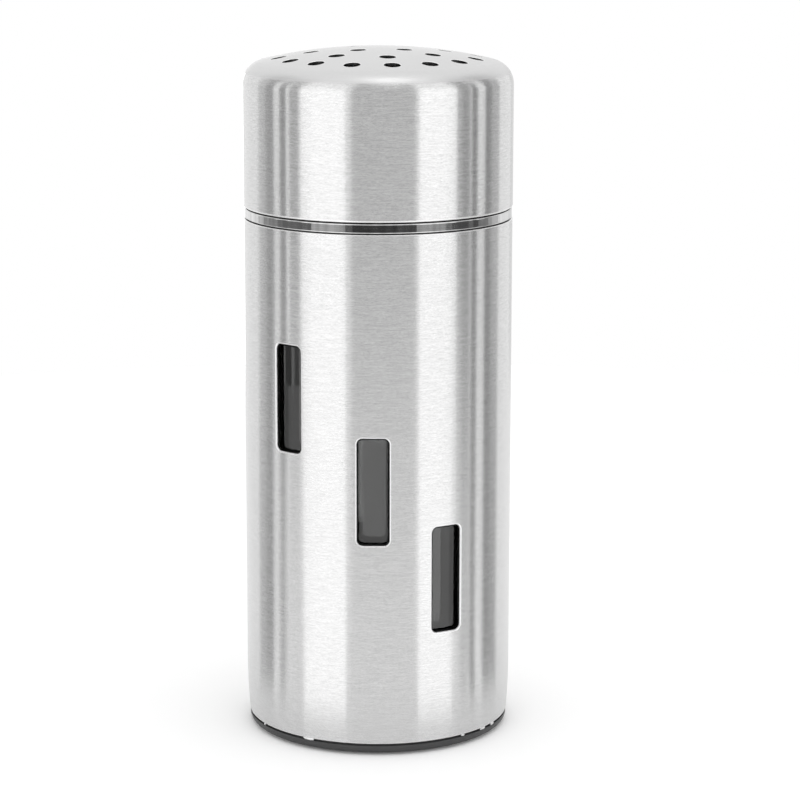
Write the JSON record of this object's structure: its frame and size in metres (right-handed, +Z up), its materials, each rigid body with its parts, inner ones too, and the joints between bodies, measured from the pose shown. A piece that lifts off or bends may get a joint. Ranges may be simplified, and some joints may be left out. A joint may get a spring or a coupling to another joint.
{
  "type": "spice shaker",
  "caption": "Free-standing spice shaker: glass jar in a windowed brushed steel sleeve, under a domed screw cap with pour holes, on a plastic base.",
  "frame": {"origin": "centre of the foot ring's lower face, on the surface that the shaker stands on", "axes": "+Z up along the shaker's axis, -Y towards the front with the windows, +X to the right seen from the front"},
  "size_m": [0.05, 0.05, 0.1283],
  "materials": {
    "cap_steel": "fine brushing round the side, satin dome",
    "cap_plastic": "moulded black polypropylene",
    "seal_silicone": "translucent white silicone, satin",
    "jar_glass": "clear pressed glass",
    "polished_steel": "mirror polished stainless steel",
    "collar_plastic": "moulded black polypropylene",
    "sleeve_steel": "fine brushing round the sleeve",
    "base_plastic": "moulded black plastic, satin",
    "cushion_foam": "closed-cell foam pad",
    "foot_rubber": "matte anti-slip rubber"
  },
  "bodies": {
    "body": {"glass_jar": "jar_glass", "sleeve": "sleeve_steel", "neck_ring": "polished_steel", "neck_collar": "collar_plastic", "base_plug": "base_plastic", "jar_cushion": "cushion_foam", "foot_ring": "foot_rubber"},
    "seal": {"seal_ring": "seal_silicone"},
    "cap": {"cap_shell": "cap_steel", "cap_insert": "cap_plastic"}
  },
  "joints": [
    {"name": "cap_lift", "type": "slide", "parent": "body", "child": "seal", "axis": [0, 0, 1], "range_m": [0, 0.0147]},
    {"name": "cap_turn", "type": "hinge", "parent": "seal", "child": "cap", "pos_m": [0, 0, 0.1], "axis": [0, 0, 1], "range_deg": [0, 630]}
  ],
  "couplings": [
    {"joint": "cap_lift", "follows": "cap_turn", "m_per_rad": 0.0013369}
  ]
}
